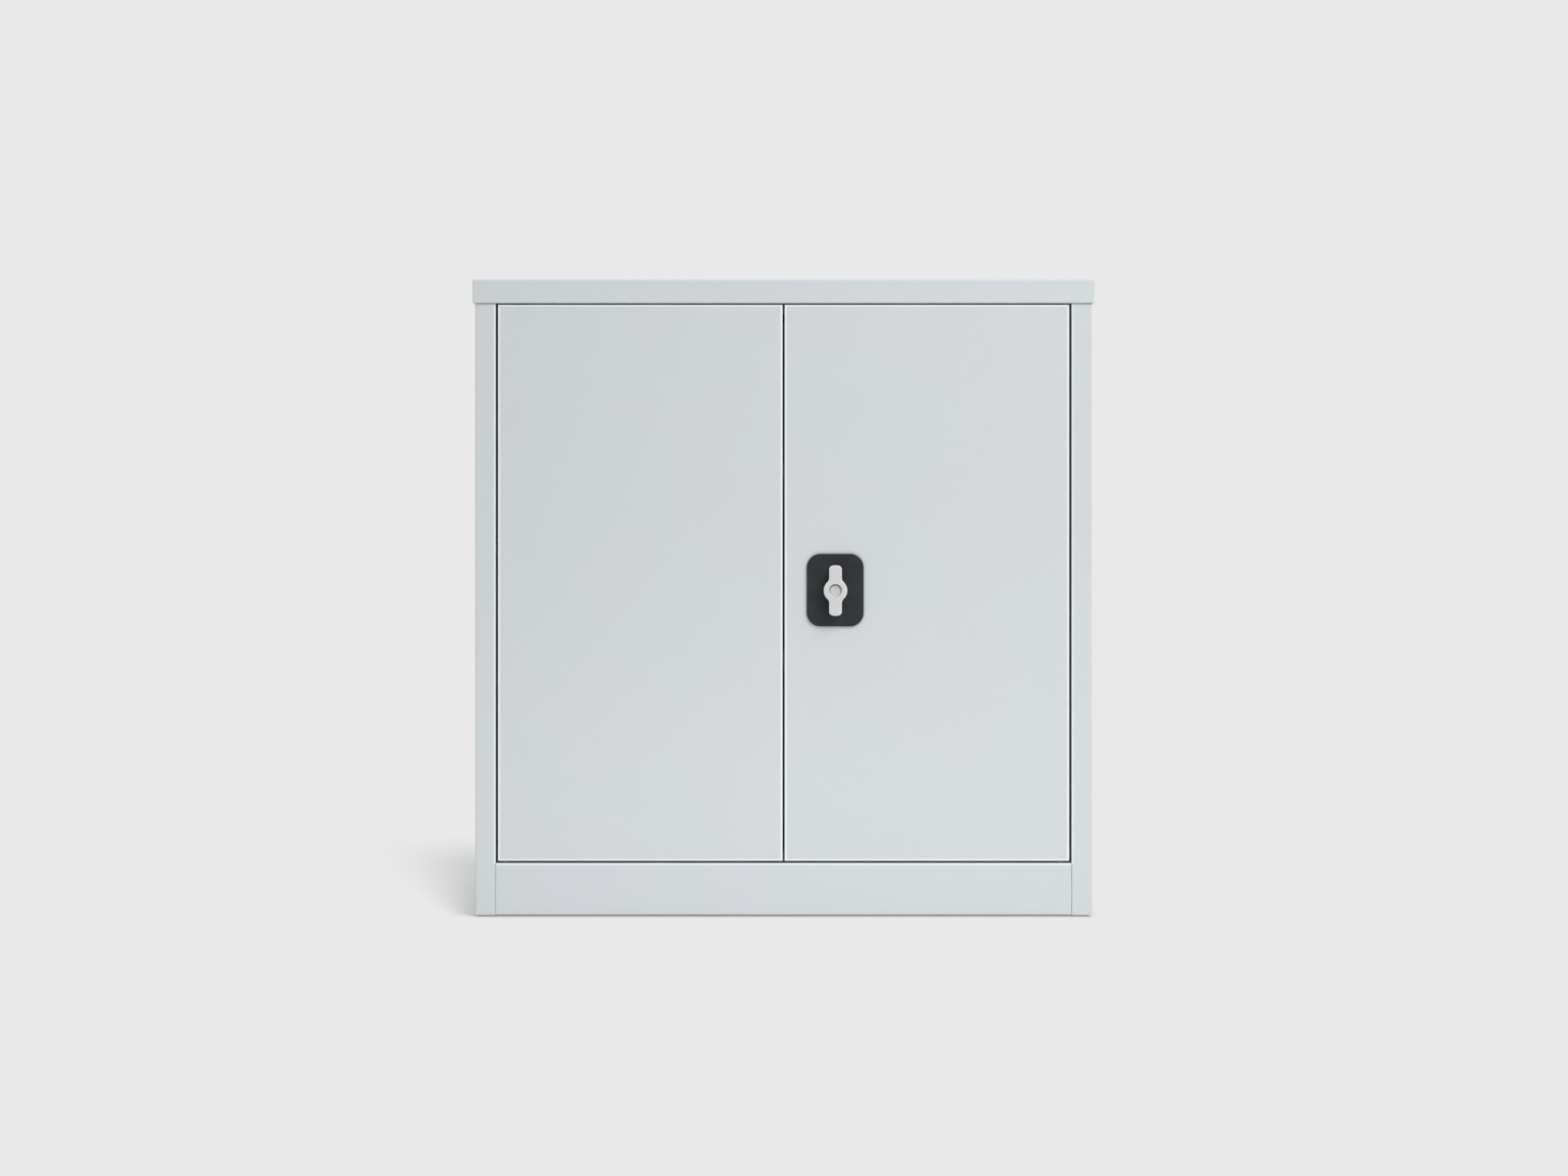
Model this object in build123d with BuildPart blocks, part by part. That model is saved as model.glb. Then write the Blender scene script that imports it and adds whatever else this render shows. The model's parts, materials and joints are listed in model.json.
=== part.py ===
from build123d import *
import os
from math import cos, floor, radians, sin

os.makedirs("parts", exist_ok=True)

# Millimetres. X runs to the right, Y from front to back and Z up from the floor.
# Depths count back from the front of the body, with which the closed doors are flush.

# Every cut runs this far past what it cuts
overrun = 5

# Body
body_width = 900
body_depth = 400
cabinet_height = 930
sheet = 0.8
carcass_bend = 2.5
fold_bend = 1.6

# Side panels: the front stile is folded back into a channel, the rear edge into a flange
stile_width = 30
stile_depth = 27
stile_lip = 20
back_flange = 20
head_flange = 20
foot_flange = 40
flange_setback = 4

# Back panel and the screws that hold it to the side panels
back_panel_setback = 4
back_panel_flange = 15
screw_shank_radius = 1.75
screw_head_radius = 3.6
screw_head_height = 1.6
screw_length = 8
screw_recess_length = 4.2
screw_recess_width = 0.9
screw_recess_depth = 0.8
screw_end_distance = 110
screw_rows = 4

# Cap
cap_height = 34.5
cap_overhang = 3.5
cap_hem_gap = 0.3

# Top rail and kick plate: each ends in a lip that the doors shut against
stop_lip = 14
rail_flange = 15
kick_height = 76
kick_seam = 0.3
kick_foot = 20

# Bottom panel and shelves
deck_gap = 0.2
deck_drop = 15
shelf_side_gap = 8
shelf_front = 32
shelf_rear_gap = 6.4
shelf_drop = 25
shelf_hem = 12

# Slotted uprights
upright_width = 25
upright_reach = 25
upright_margin = 50
upright_head_gap = 8
slot_width = 12.5
slot_height = 3
slot_pitch = 25
slot_first = 20
lower_shelf_slot = 10
upper_shelf_slot = 21

# Shelf clips
clip_sheet = 1.5
clip_width = 11
clip_ledge = 18
clip_leg = 15
clip_hook = 7
clip_play = 0.3

# Glides
glide_height = 3
glide_radius = 12
glide_stem_radius = 4
glide_stem = 9
glide_inset = 22
glide_margin = 50

# Doors
side_gap = 2.9
centre_gap = 2.6
head_gap = 1.8
foot_gap = 2.5
door_depth = 20
door_bend = 1.5
door_lip = 15

# Door stiffeners
stiffener_width = 40
stiffener_flange = 12
stiffener_depth = 10
stiffener_end_gap = 30

# Hinge pivots
pivot_inset = 12
pivot_depth = 6
pin_radius = 2.5
pin_play = 0.05
pin_reach = 6
pin_head_radius = 4
pin_head = 2.5
bush_radius = 3.6
bush_sleeve = 5
bush_collar_radius = 5
bush_collar = 1.2
seat_gap = 0.3
bracket_sheet = 2
bracket_leg = 24
bracket_front = 2.5
bracket_rear_gap = 0.5

# Stops and catches
bumper_radius = 6
bumper_from_centre = 25
catch_from_centre = 150
catch_length = 46
catch_height = 11
catch_plate = 1.6
catch_plate_inset = 5

# Lock: where it sits, and its escutcheon plate
lock_backset = 74
lock_rise = 395.4
plate_width = 83
plate_height = 106
plate_corner = 20
plate_thickness = 4
plate_edge = 1.2

# Wing handle
handle_reach = 26
handle_gap = 0.3
wing_length = 73
wing_width = 18.1
wing_thickness = 13
wing_dome = 2
wing_corner = 5.6
wing_edge = 1.6
hub_radius = 16.9
hub_blend = 9
recess_radius = 9.8
recess_depth = 4.7
running_play = 0.05

# Lock barrel and plug
barrel_radius = 9
barrel_length = 13.3
plug_radius = 7.5
keyway_width = 0.9
keyway_height = 8
keyway_depth = 1.2

# Spindle, and the case that guides it behind the door skin
spindle_radius = 6
case_length = 9
case_radius = 18
case_flange_radius = 26
case_flange = 1.5
case_screw_offset = 22
case_screw_radius = 2
case_screw_head_radius = 3.5
case_screw_head = 2.2
case_screw_grip = 2.5
skin_hole_play = 2

# Crank and its pins
crank_gap = 0.2
crank_radius = 22.5
crank_thickness = 2.8
crank_square = 8
crank_throw = 18
crank_pin_radius = 2.5
crank_pin_head_radius = 4
crank_pin_head = 1.2
crank_travel_angle = 90

# Tongue on the inner end of the spindle
stem_radius = 4
spacer_radius = 6
tongue_gap = 0.6
tongue_thickness = 2
tongue_reach = 85
tongue_root_radius = 11
tongue_tip_radius = 9
tongue_square = 5.6
thread_radius = 2.5
thread_end = 1
nut_width = 8
nut_height = 4

# Locking rods and their guides
rod_width = 12
rod_thickness = 2.4
rod_gap = 0.3
rod_inset = 1
rod_play = 0.6
rod_tip_chamfer = 2
yoke_play = 0.8
yoke_wall = 2.2
guide_width = 24
guide_height = 8
guide_wall = 2
guide_play = 0.3
guide_end_distance = 60
guide_lock_distance = 120

# Levels above the floor
body_head = cabinet_height - sheet
cap_foot = cabinet_height - cap_height
kick_top = glide_height + kick_height
deck_top = kick_top + stop_lip + sheet
door_foot = kick_top + foot_gap
door_head = cap_foot - head_gap
door_height = door_head - door_foot
door_middle = (door_head + door_foot) / 2
lock_z = door_foot + lock_rise

# Distances from the middle of the cabinet
half_width = body_width / 2
wall_face = half_width - sheet
opening_half = half_width - stile_width
upright_face = wall_face - upright_reach
shelf_half = upright_face - shelf_side_gap
door_inner = centre_gap / 2
door_outer = opening_half - side_gap
door_width = door_outer - door_inner
pivot_x = door_outer - pivot_inset
lock_x = door_inner + lock_backset
glide_x = half_width - glide_inset

# Depths behind the front
back_face = body_depth - sheet
stop_face = stile_depth
shelf_rear = back_face - sheet - shelf_rear_gap
crank_front = sheet + case_length + crank_gap
rod_front = crank_front + crank_thickness + rod_gap
rod_back = rod_front + rod_thickness
rod_depth = (rod_front + rod_back) / 2
tongue_front = door_depth + tongue_gap
tongue_back = tongue_front + tongue_thickness
recess_floor = recess_depth - handle_reach
spindle_head = recess_floor + barrel_length
handle_back = -plate_thickness - handle_gap

# The body is centred front to back with the handle's reach counted in
front = -(body_depth + cap_overhang - handle_reach) / 2

# The crank turns its pins from half the travel below the level to half above it
crank_half_angle = radians(crank_travel_angle / 2)
crank_rise = crank_throw * sin(crank_half_angle)
crank_side = crank_throw * cos(crank_half_angle)
yoke_middle = (crank_throw + crank_side) / 2
yoke_slot_length = crank_throw - crank_side + 2 * (crank_pin_radius + yoke_play)
yoke_slot_height = 2 * (crank_pin_radius + yoke_play)

hands = {"left": -1, "right": 1}


def plan(level):
    """Level plane, drawn as x across and depth behind the front."""
    return Plane(origin=(0, front, level))


def facing(depth, x=0, z=0):
    """Plane parallel to the front, drawn as x across and z up; it looks to the front."""
    return Plane(origin=(x, front + depth, z), x_dir=(1, 0, 0), z_dir=(0, -1, 0))


def side_on(x):
    """Plane across the cabinet, drawn as depth and z up; it looks to the right."""
    return Plane(origin=(x, front, 0), x_dir=(0, 1, 0), z_dir=(1, 0, 0))


def keep(piece, name):
    """Label a finished piece and write its file."""
    piece.part.label = name
    export_step(piece.part, f"parts/{name}.step")


def middle_line(skin, inside):
    """Middle of a sheet with square corners; inside is 1 left of its skin, -1 right."""
    runs = [(Vector(end) - Vector(start)).normalized() for start, end in zip(skin, skin[1:])]
    inwards = [run.rotate(Axis.Z, 90 * inside) * sheet / 2 for run in runs]
    corners = [before + after for before, after in zip(inwards, inwards[1:])]
    shifts = [inwards[0], *corners, inwards[-1]]
    return [Vector(point) + shift for point, shift in zip(skin, shifts)]


def fold(plane, skin, bend, inside, length):
    """Sheet folded along its outer skin and run that far from the plane."""
    with BuildSketch(plane) as section:
        with BuildLine():
            FilletPolyline(*middle_line(skin, inside), radius=bend - sheet / 2)
        trace(line_width=sheet)
    extrude(section.sketch, amount=length)


def posts(plane, places, radius, length, mode=Mode.ADD):
    """Round bars that stand on a plane at the places given."""
    with BuildSketch(plane) as discs:
        with Locations(*places):
            Circle(radius)
    extrude(discs.sketch, amount=length, mode=mode)


def bars(plane, places, width, height, length, mode=Mode.ADD):
    """Square-cornered bars that stand on a plane at the places given."""
    with BuildSketch(plane) as sections:
        with Locations(*places):
            Rectangle(width, height)
    extrude(sections.sketch, amount=length, mode=mode)


def tray(width, near, far, top, drop, corner):
    """Folded panel with a flange down each side, open underneath."""
    with BuildSketch(plan(top)) as outline:
        with Locations((0, (near + far) / 2)):
            RectangleRounded(width, far - near, corner)
    extrude(outline.sketch, amount=-drop)
    upper = faces().sort_by(Axis.Z)[-1]
    fillet(upper.edges(), fold_bend)
    offset(amount=-sheet, openings=faces().sort_by(Axis.Z)[0])


# Side panels
screw_x = half_width - back_flange / 2
screw_span = cap_foot - glide_height - 2 * screw_end_distance
screw_levels = [
    glide_height + screw_end_distance + screw_span * row / (screw_rows - 1)
    for row in range(screw_rows)
]
glide_depths = (glide_margin, body_depth - glide_margin)


def side_panel(hand):
    """Side wall with its front stile, rear flange, and flanges at foot and head."""
    skin = [
        (hand * (opening_half + stile_lip), stile_depth),
        (hand * opening_half, stile_depth),
        (hand * opening_half, 0),
        (hand * half_width, 0),
        (hand * half_width, body_depth),
        (hand * (half_width - back_flange), body_depth),
    ]
    flange_run = body_depth - stile_depth - 2 * flange_setback
    flange_middle = (body_depth + stile_depth) / 2
    with BuildPart() as panel:
        fold(plan(glide_height), skin, carcass_bend, hand, body_head - glide_height)
        for level, width in (
            (glide_height, foot_flange),
            (body_head - sheet, head_flange),
        ):
            middle = hand * (half_width - (sheet + width) / 2)
            bars(plan(level), [(middle, flange_middle)], sheet + width, flange_run, sheet)
        posts(
            plan(glide_height - overrun),
            [(hand * glide_x, depth) for depth in glide_depths],
            glide_stem_radius,
            2 * overrun,
            Mode.SUBTRACT,
        )
        posts(
            facing(body_depth + overrun),
            [(hand * screw_x, level) for level in screw_levels],
            screw_shank_radius,
            2 * overrun,
            Mode.SUBTRACT,
        )
    return panel


for side_name, hand in hands.items():
    keep(side_panel(hand), f"{side_name}_side_panel")

# Back panel, in front of the side panels' rear flanges; its foot is folded forward
back_half = half_width - back_panel_setback
with BuildPart() as back_panel:
    fold(
        side_on(-back_half),
        [
            (back_face - back_panel_flange, glide_height + sheet),
            (back_face, glide_height + sheet),
            (back_face, body_head),
        ],
        fold_bend,
        1,
        2 * back_half,
    )
    posts(
        facing(body_depth + overrun),
        [(hand * screw_x, level) for hand in hands.values() for level in screw_levels],
        screw_shank_radius,
        screw_length + overrun,
        Mode.SUBTRACT,
    )
keep(back_panel, "back_panel")

# Screws in the rear flanges
with BuildPart() as back_screws:
    screw_places = [(hand * screw_x, z) for hand in hands.values() for z in screw_levels]
    posts(facing(body_depth), screw_places, screw_head_radius, -screw_head_height)
    heads = faces().filter_by(Plane.XZ).group_by(Axis.Y)[-1]
    fillet(heads.edges(), screw_head_height / 2)
    posts(facing(body_depth), screw_places, screw_shank_radius, screw_length)
    for width, height in (
        (screw_recess_length, screw_recess_width),
        (screw_recess_width, screw_recess_length),
    ):
        bars(
            facing(body_depth + screw_head_height),
            screw_places,
            width,
            height,
            screw_recess_depth,
            Mode.SUBTRACT,
        )
keep(back_screws, "back_screws")

# Cap: a lid with a skirt that overhangs the body and is folded in to it at its foot
cap_width = body_width + 2 * cap_overhang
cap_length = body_depth + 2 * cap_overhang
with BuildPart() as top_panel:
    with BuildSketch(plan(cap_foot)):
        with Locations((0, body_depth / 2)):
            RectangleRounded(cap_width, cap_length, carcass_bend)
    extrude(amount=cap_height)
    fillet(faces().sort_by(Axis.Z)[-1].edges(), carcass_bend)
    offset(amount=-sheet, openings=faces().sort_by(Axis.Z)[0])
    with BuildSketch(plan(cap_foot)):
        with Locations((0, body_depth / 2)):
            RectangleRounded(cap_width, cap_length, carcass_bend)
            Rectangle(
                body_width + 2 * cap_hem_gap,
                body_depth + 2 * cap_hem_gap,
                mode=Mode.SUBTRACT,
            )
    extrude(amount=sheet)
    fillet(faces().sort_by(Axis.Z)[0].outer_wire().edges(), fold_bend)
keep(top_panel, "top_panel")

# Places that the top rail and the kick plate share with the doors
pivots = [(hand * pivot_x, pivot_depth) for hand in hands.values()]
upper_rod_x = lock_x + yoke_middle
lower_rod_x = lock_x - yoke_middle


def rod_slot(level, x, play):
    """Slot for a locking rod, cut through the sheet at that level."""
    bars(
        plan(level - overrun),
        [(x, rod_depth)],
        rod_width + 2 * play,
        rod_thickness + 2 * play,
        2 * overrun,
        Mode.SUBTRACT,
    )


# Top rail, behind the cap's skirt
with BuildPart() as top_rail:
    fold(
        side_on(-opening_half),
        [
            (stop_face, cap_foot - stop_lip),
            (stop_face, cap_foot),
            (0, cap_foot),
            (0, body_head),
            (rail_flange, body_head),
        ],
        fold_bend,
        -1,
        2 * opening_half,
    )
    posts(plan(cap_foot - overrun), pivots, bush_radius, 2 * overrun, Mode.SUBTRACT)
    rod_slot(cap_foot, upper_rod_x, rod_play)
keep(top_rail, "top_rail")

# Kick plate, between the stiles
kick_half = opening_half - kick_seam
with BuildPart() as kick_plate:
    fold(
        side_on(-kick_half),
        [
            (kick_foot, glide_height),
            (0, glide_height),
            (0, kick_top),
            (stop_face, kick_top),
            (stop_face, kick_top + stop_lip),
        ],
        fold_bend,
        -1,
        2 * kick_half,
    )
    for tab_start in (-kick_half, kick_half - sheet):
        bars(
            side_on(tab_start),
            [((stop_face + sheet) / 2, (kick_top + glide_height) / 2)],
            stop_face - sheet,
            kick_height - sheet,
            sheet,
        )
    posts(plan(kick_top - overrun), pivots, bush_radius, 2 * overrun, Mode.SUBTRACT)
    rod_slot(kick_top, lower_rod_x, rod_play)
keep(kick_plate, "kick_plate")

# Bottom panel, from the kick plate's lip to the back panel
with BuildPart() as bottom_panel:
    tray(
        2 * (wall_face - deck_gap),
        stop_face + sheet,
        back_face - sheet,
        deck_top,
        deck_drop,
        carcass_bend,
    )
keep(bottom_panel, "bottom_panel")

# Slotted uprights
slots = floor((body_head - upright_head_gap - deck_top - 2 * slot_first) / slot_pitch) + 1
upright_depths = {
    "front": upright_margin,
    "rear": body_depth - upright_margin - upright_width,
}


def slot_level(number):
    """Height of the middle of a slot, counted from the lowest."""
    return deck_top + slot_first + slot_pitch * number


def upright(hand, near):
    """Channel on the side wall, slotted down the face that looks to the middle."""
    far = near + upright_width
    with BuildPart() as channel:
        fold(
            plan(deck_top),
            [
                (hand * wall_face, near),
                (hand * upright_face, near),
                (hand * upright_face, far),
                (hand * wall_face, far),
            ],
            fold_bend,
            -hand,
            body_head - upright_head_gap - deck_top,
        )
        bars(
            side_on(hand * upright_face - overrun),
            [((near + far) / 2, slot_level(number)) for number in range(slots)],
            slot_width,
            slot_height,
            2 * overrun,
            Mode.SUBTRACT,
        )
    return channel


for side_name, hand in hands.items():
    for end_name, near in upright_depths.items():
        keep(upright(hand, near), f"{end_name}_{side_name}_upright")


# Shelves, each on four clips hooked into the uprights
def shelf(level):
    """Shelf whose flanges stand on the clips' ledges at that level."""
    hem_middles = (shelf_front + shelf_hem / 2, shelf_rear - shelf_hem / 2)
    with BuildPart() as panel:
        tray(
            2 * shelf_half,
            shelf_front,
            shelf_rear,
            level + shelf_drop,
            shelf_drop,
            fold_bend,
        )
        bars(
            plan(level),
            [(0, middle) for middle in hem_middles],
            2 * (shelf_half - fold_bend),
            shelf_hem,
            sheet,
        )
    return panel


def shelf_clips(slot_middle):
    """Four clips: a ledge, a leg down the upright's face, and a hook behind its slot."""
    hook_face = sheet + clip_play
    with BuildPart() as clips:
        for hand in hands.values():
            for near in upright_depths.values():
                start = near + (upright_width + clip_width) / 2
                with BuildSketch(facing(start, hand * upright_face, slot_middle)):
                    with Locations((hand * (hook_face + clip_sheet - clip_ledge) / 2, 0)):
                        Rectangle(clip_ledge + hook_face + clip_sheet, clip_sheet)
                    with Locations((-hand * clip_sheet / 2, -clip_leg / 2)):
                        Rectangle(clip_sheet, clip_leg)
                    with Locations((hand * (hook_face + clip_sheet / 2), -clip_hook / 2)):
                        Rectangle(clip_sheet, clip_hook)
                extrude(amount=clip_width)
    return clips


for shelf_name, number in (("lower", lower_shelf_slot), ("upper", upper_shelf_slot)):
    keep(shelf(slot_level(number) + clip_sheet / 2), f"{shelf_name}_shelf")
    keep(shelf_clips(slot_level(number)), f"{shelf_name}_shelf_clips")

# Glides, plugged up into the foot flanges
glides_at = [(hand * glide_x, depth) for hand in hands.values() for depth in glide_depths]
with BuildPart() as glides:
    posts(plan(0), glides_at, glide_radius, glide_height)
    fillet(faces().group_by(Axis.Z)[0].edges(), glide_height / 4)
    posts(plan(glide_height), glides_at, glide_stem_radius, glide_stem)
keep(glides, "glides")

# Pivot bushes, a pair in the top rail and a pair in the kick plate
lower_collar = foot_gap - seat_gap
with BuildPart() as pivot_bushes:
    posts(plan(cap_foot - bush_collar), pivots, bush_collar_radius, bush_collar)
    posts(plan(cap_foot), pivots, bush_radius, bush_sleeve)
    posts(plan(kick_top), pivots, bush_collar_radius, lower_collar)
    posts(plan(kick_top - bush_sleeve), pivots, bush_radius, bush_sleeve)
    for level in (cap_foot, kick_top):
        posts(
            plan(level - bush_sleeve - overrun),
            pivots,
            pin_radius + pin_play,
            2 * (bush_sleeve + overrun),
            Mode.SUBTRACT,
        )
keep(pivot_bushes, "pivot_bushes")

# Bumpers and catches, on the lips that the doors shut against
upper_stop_z = cap_foot - stop_lip / 2
lower_stop_z = kick_top + stop_lip / 2
stop_thickness = stop_face - door_depth - seat_gap
with BuildPart() as door_bumpers:
    posts(
        facing(stop_face),
        [
            (hand * bumper_from_centre, level)
            for hand in hands.values()
            for level in (upper_stop_z, lower_stop_z)
        ],
        bumper_radius,
        stop_thickness,
    )
    fillet(faces().group_by(Axis.Y)[0].edges(), bumper_radius / 4)
keep(door_bumpers, "door_bumpers")

catches_at = [(hand * catch_from_centre, upper_stop_z) for hand in hands.values()]
with BuildPart() as magnetic_catches:
    bars(facing(stop_face), catches_at, catch_length, catch_height, stop_thickness)
    chamfer(edges().filter_by(Axis.Y), catch_height / 8)
    for offset_share in (-1, 1):
        bars(
            facing(door_depth + seat_gap + catch_plate / 2),
            [(x, z + offset_share * catch_height / 6) for x, z in catches_at],
            catch_length - 2 * catch_plate_inset,
            catch_plate,
            catch_plate,
            Mode.SUBTRACT,
        )
keep(magnetic_catches, "magnetic_catches")


# Doors
def door_pan(hand):
    """Door skin with its four edges folded back and their lips turned in."""
    middle = hand * (door_inner + door_outer) / 2
    with BuildSketch(facing(door_depth, middle, door_middle)) as outline:
        Rectangle(door_width, door_height)
    extrude(outline.sketch, amount=door_depth)
    fillet(faces().sort_by(Axis.Y)[0].edges(), door_bend)
    offset(amount=-sheet, openings=faces().sort_by(Axis.Y)[-1])
    with BuildSketch(facing(door_depth, middle, door_middle)) as lips:
        Rectangle(door_width, door_height)
        Rectangle(
            door_width - 2 * door_lip,
            door_height - 2 * door_lip,
            mode=Mode.SUBTRACT,
        )
    extrude(lips.sketch, amount=sheet)
    for level in (door_foot, door_head):
        posts(
            plan(level - overrun),
            [(hand * pivot_x, pivot_depth)],
            pin_radius,
            2 * overrun,
            Mode.SUBTRACT,
        )


case_screws_at = [(lock_x + side * case_screw_offset, lock_z) for side in (-1, 1)]

with BuildPart() as left_door:
    door_pan(hands["left"])
keep(left_door, "left_door")

with BuildPart() as right_door:
    door_pan(hands["right"])
    posts(
        facing(sheet + overrun),
        [(lock_x, lock_z)],
        spindle_radius + skin_hole_play,
        2 * overrun,
        Mode.SUBTRACT,
    )
    posts(
        facing(sheet + overrun),
        case_screws_at,
        case_screw_radius,
        2 * overrun,
        Mode.SUBTRACT,
    )
    rod_slot(door_head, upper_rod_x, rod_play)
    rod_slot(door_foot, lower_rod_x, rod_play)
keep(right_door, "right_door")


def stiffener(hand):
    """Hat-shaped channel up the middle of the door, welded behind its skin."""
    middle = hand * (door_inner + door_outer) / 2
    crown = stiffener_width / 2
    brim = crown + stiffener_flange
    with BuildPart() as channel:
        fold(
            plan(door_foot + stiffener_end_gap),
            [
                (middle - brim, sheet),
                (middle - crown, sheet),
                (middle - crown, sheet + stiffener_depth),
                (middle + crown, sheet + stiffener_depth),
                (middle + crown, sheet),
                (middle + brim, sheet),
            ],
            fold_bend,
            1,
            door_height - 2 * stiffener_end_gap,
        )
    return channel


def hinge_brackets(hand):
    """Angle brackets in the door's top and bottom corners, drilled for the pins."""
    corner = hand * (door_outer - sheet)
    rear = door_depth - sheet - bracket_rear_gap
    with BuildPart() as brackets:
        for level, up in ((door_foot + sheet, 1), (door_head - sheet, -1)):
            with BuildSketch(facing(rear, corner, level)):
                with Locations((-hand * bracket_leg / 2, up * bracket_sheet / 2)):
                    Rectangle(bracket_leg, bracket_sheet)
                with Locations((-hand * bracket_sheet / 2, up * bracket_leg / 2)):
                    Rectangle(bracket_sheet, bracket_leg)
            extrude(amount=rear - bracket_front)
            posts(
                plan(level - overrun),
                [(hand * pivot_x, pivot_depth)],
                pin_radius,
                2 * overrun,
                Mode.SUBTRACT,
            )
    return brackets


def hinge_pins(hand):
    """Headed pins that stand out of the door's top and bottom edges."""
    place = [(hand * pivot_x, pivot_depth)]
    lower_seat = door_foot + sheet + bracket_sheet
    upper_seat = door_head - sheet - bracket_sheet
    lower_shank = lower_seat - (kick_top - pin_reach)
    upper_shank = cap_foot + pin_reach - upper_seat
    with BuildPart() as pins:
        posts(plan(lower_seat), place, pin_radius, -lower_shank)
        posts(plan(upper_seat), place, pin_radius, upper_shank)
        for end in (faces().sort_by(Axis.Z)[0], faces().sort_by(Axis.Z)[-1]):
            chamfer(end.edges(), pin_radius / 4)
        posts(plan(lower_seat), place, pin_head_radius, pin_head)
        posts(plan(upper_seat), place, pin_head_radius, -pin_head)
    return pins


for side_name, hand in hands.items():
    keep(stiffener(hand), f"{side_name}_door_stiffener")
    keep(hinge_brackets(hand), f"{side_name}_hinge_brackets")
    keep(hinge_pins(hand), f"{side_name}_hinge_pins")

# Lock plate on the face of the right door
with BuildPart() as lock_plate:
    with BuildSketch(facing(0, lock_x, lock_z)):
        RectangleRounded(plate_width, plate_height, plate_corner)
    extrude(amount=plate_thickness)
    fillet(faces().sort_by(Axis.Y)[0].edges(), plate_edge)
    posts(
        facing(overrun, lock_x, lock_z),
        [(0, 0)],
        spindle_radius + running_play,
        plate_thickness + 2 * overrun,
        Mode.SUBTRACT,
    )
    posts(facing(0), case_screws_at, case_screw_radius, case_screw_grip, Mode.SUBTRACT)
keep(lock_plate, "lock_plate")

# Wing handle: a bar with a round hub, recessed around the lock barrel
with BuildPart() as lock_handle:
    wing_half = wing_width / 2
    wing_straight = wing_length / 2 - wing_dome
    with BuildSketch(facing(wing_thickness - handle_reach, lock_x, lock_z)) as wings:
        with BuildLine():
            Line((wing_half, -wing_straight), (wing_half, wing_straight))
            ThreePointArc(
                (wing_half, wing_straight),
                (0, wing_length / 2),
                (-wing_half, wing_straight),
            )
            Line((-wing_half, wing_straight), (-wing_half, -wing_straight))
            ThreePointArc(
                (-wing_half, -wing_straight),
                (0, -wing_length / 2),
                (wing_half, -wing_straight),
            )
        make_face()
        fillet(vertices(), wing_corner)
        Circle(hub_radius)
        fillet(vertices().sort_by_distance((0, 0))[:4], hub_blend)
    extrude(amount=wing_thickness)
    chamfer(faces().sort_by(Axis.Y)[0].edges(), wing_edge)
    posts(
        facing(handle_back, lock_x, lock_z),
        [(0, 0)],
        hub_radius,
        handle_reach - wing_thickness + handle_back,
    )
    with BuildSketch(facing(-handle_reach, lock_x, lock_z)):
        Circle(recess_radius)
    with BuildSketch(facing(recess_floor, lock_x, lock_z)):
        Circle(plug_radius + 2 * running_play)
    loft(mode=Mode.SUBTRACT)
    posts(
        facing(handle_back + overrun, lock_x, lock_z),
        [(0, 0)],
        barrel_radius,
        handle_back + overrun - recess_floor,
        Mode.SUBTRACT,
    )
keep(lock_handle, "lock_handle")

# Lock barrel and the plug that the key turns
with BuildPart() as lock_barrel:
    with BuildSketch(facing(spindle_head, lock_x, lock_z)):
        Circle(barrel_radius)
        Circle(plug_radius + running_play, mode=Mode.SUBTRACT)
    extrude(amount=barrel_length)
keep(lock_barrel, "lock_barrel")

with BuildPart() as lock_plug:
    with BuildSketch(facing(spindle_head - seat_gap, lock_x, lock_z)):
        Circle(plug_radius)
    extrude(amount=barrel_length - seat_gap)
    bars(
        facing(recess_floor + keyway_depth, lock_x, lock_z),
        [(0, 0)],
        keyway_width,
        keyway_height,
        keyway_depth + overrun,
        Mode.SUBTRACT,
    )
keep(lock_plug, "lock_plug")

# Spindle: a head in the handle's hub, a round shaft, squares for crank and tongue
with BuildPart() as lock_spindle:
    for near, far, radius in (
        (spindle_head, handle_back, barrel_radius),
        (handle_back, crank_front, spindle_radius),
        (crank_front + crank_thickness, tongue_front, stem_radius),
        (tongue_back, tongue_back + nut_height + thread_end, thread_radius),
    ):
        posts(facing(far, lock_x, lock_z), [(0, 0)], radius, far - near)
    for near, far, width in (
        (crank_front, crank_front + crank_thickness, crank_square),
        (tongue_front, tongue_back, tongue_square),
    ):
        bars(facing(far, lock_x, lock_z), [(0, 0)], width, width, far - near)
keep(lock_spindle, "lock_spindle")

# Case behind the door skin, clamped to the plate by two screws
with BuildPart() as lock_case:
    posts(
        facing(sheet + case_flange, lock_x, lock_z),
        [(0, 0)],
        case_flange_radius,
        case_flange,
    )
    posts(facing(sheet + case_length, lock_x, lock_z), [(0, 0)], case_radius, case_length)
    posts(
        facing(sheet + case_length + overrun, lock_x, lock_z),
        [(0, 0)],
        spindle_radius + running_play,
        case_length + 2 * overrun,
        Mode.SUBTRACT,
    )
    posts(
        facing(sheet + case_flange),
        case_screws_at,
        case_screw_radius,
        case_flange,
        Mode.SUBTRACT,
    )
keep(lock_case, "lock_case")

with BuildPart() as lock_screws:
    shank = sheet + case_flange + case_screw_grip
    seat = sheet + case_flange
    posts(facing(seat), case_screws_at, case_screw_radius, shank)
    posts(facing(seat + case_screw_head), case_screws_at, case_screw_head_radius, case_screw_head)
keep(lock_screws, "lock_screws")

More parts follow.
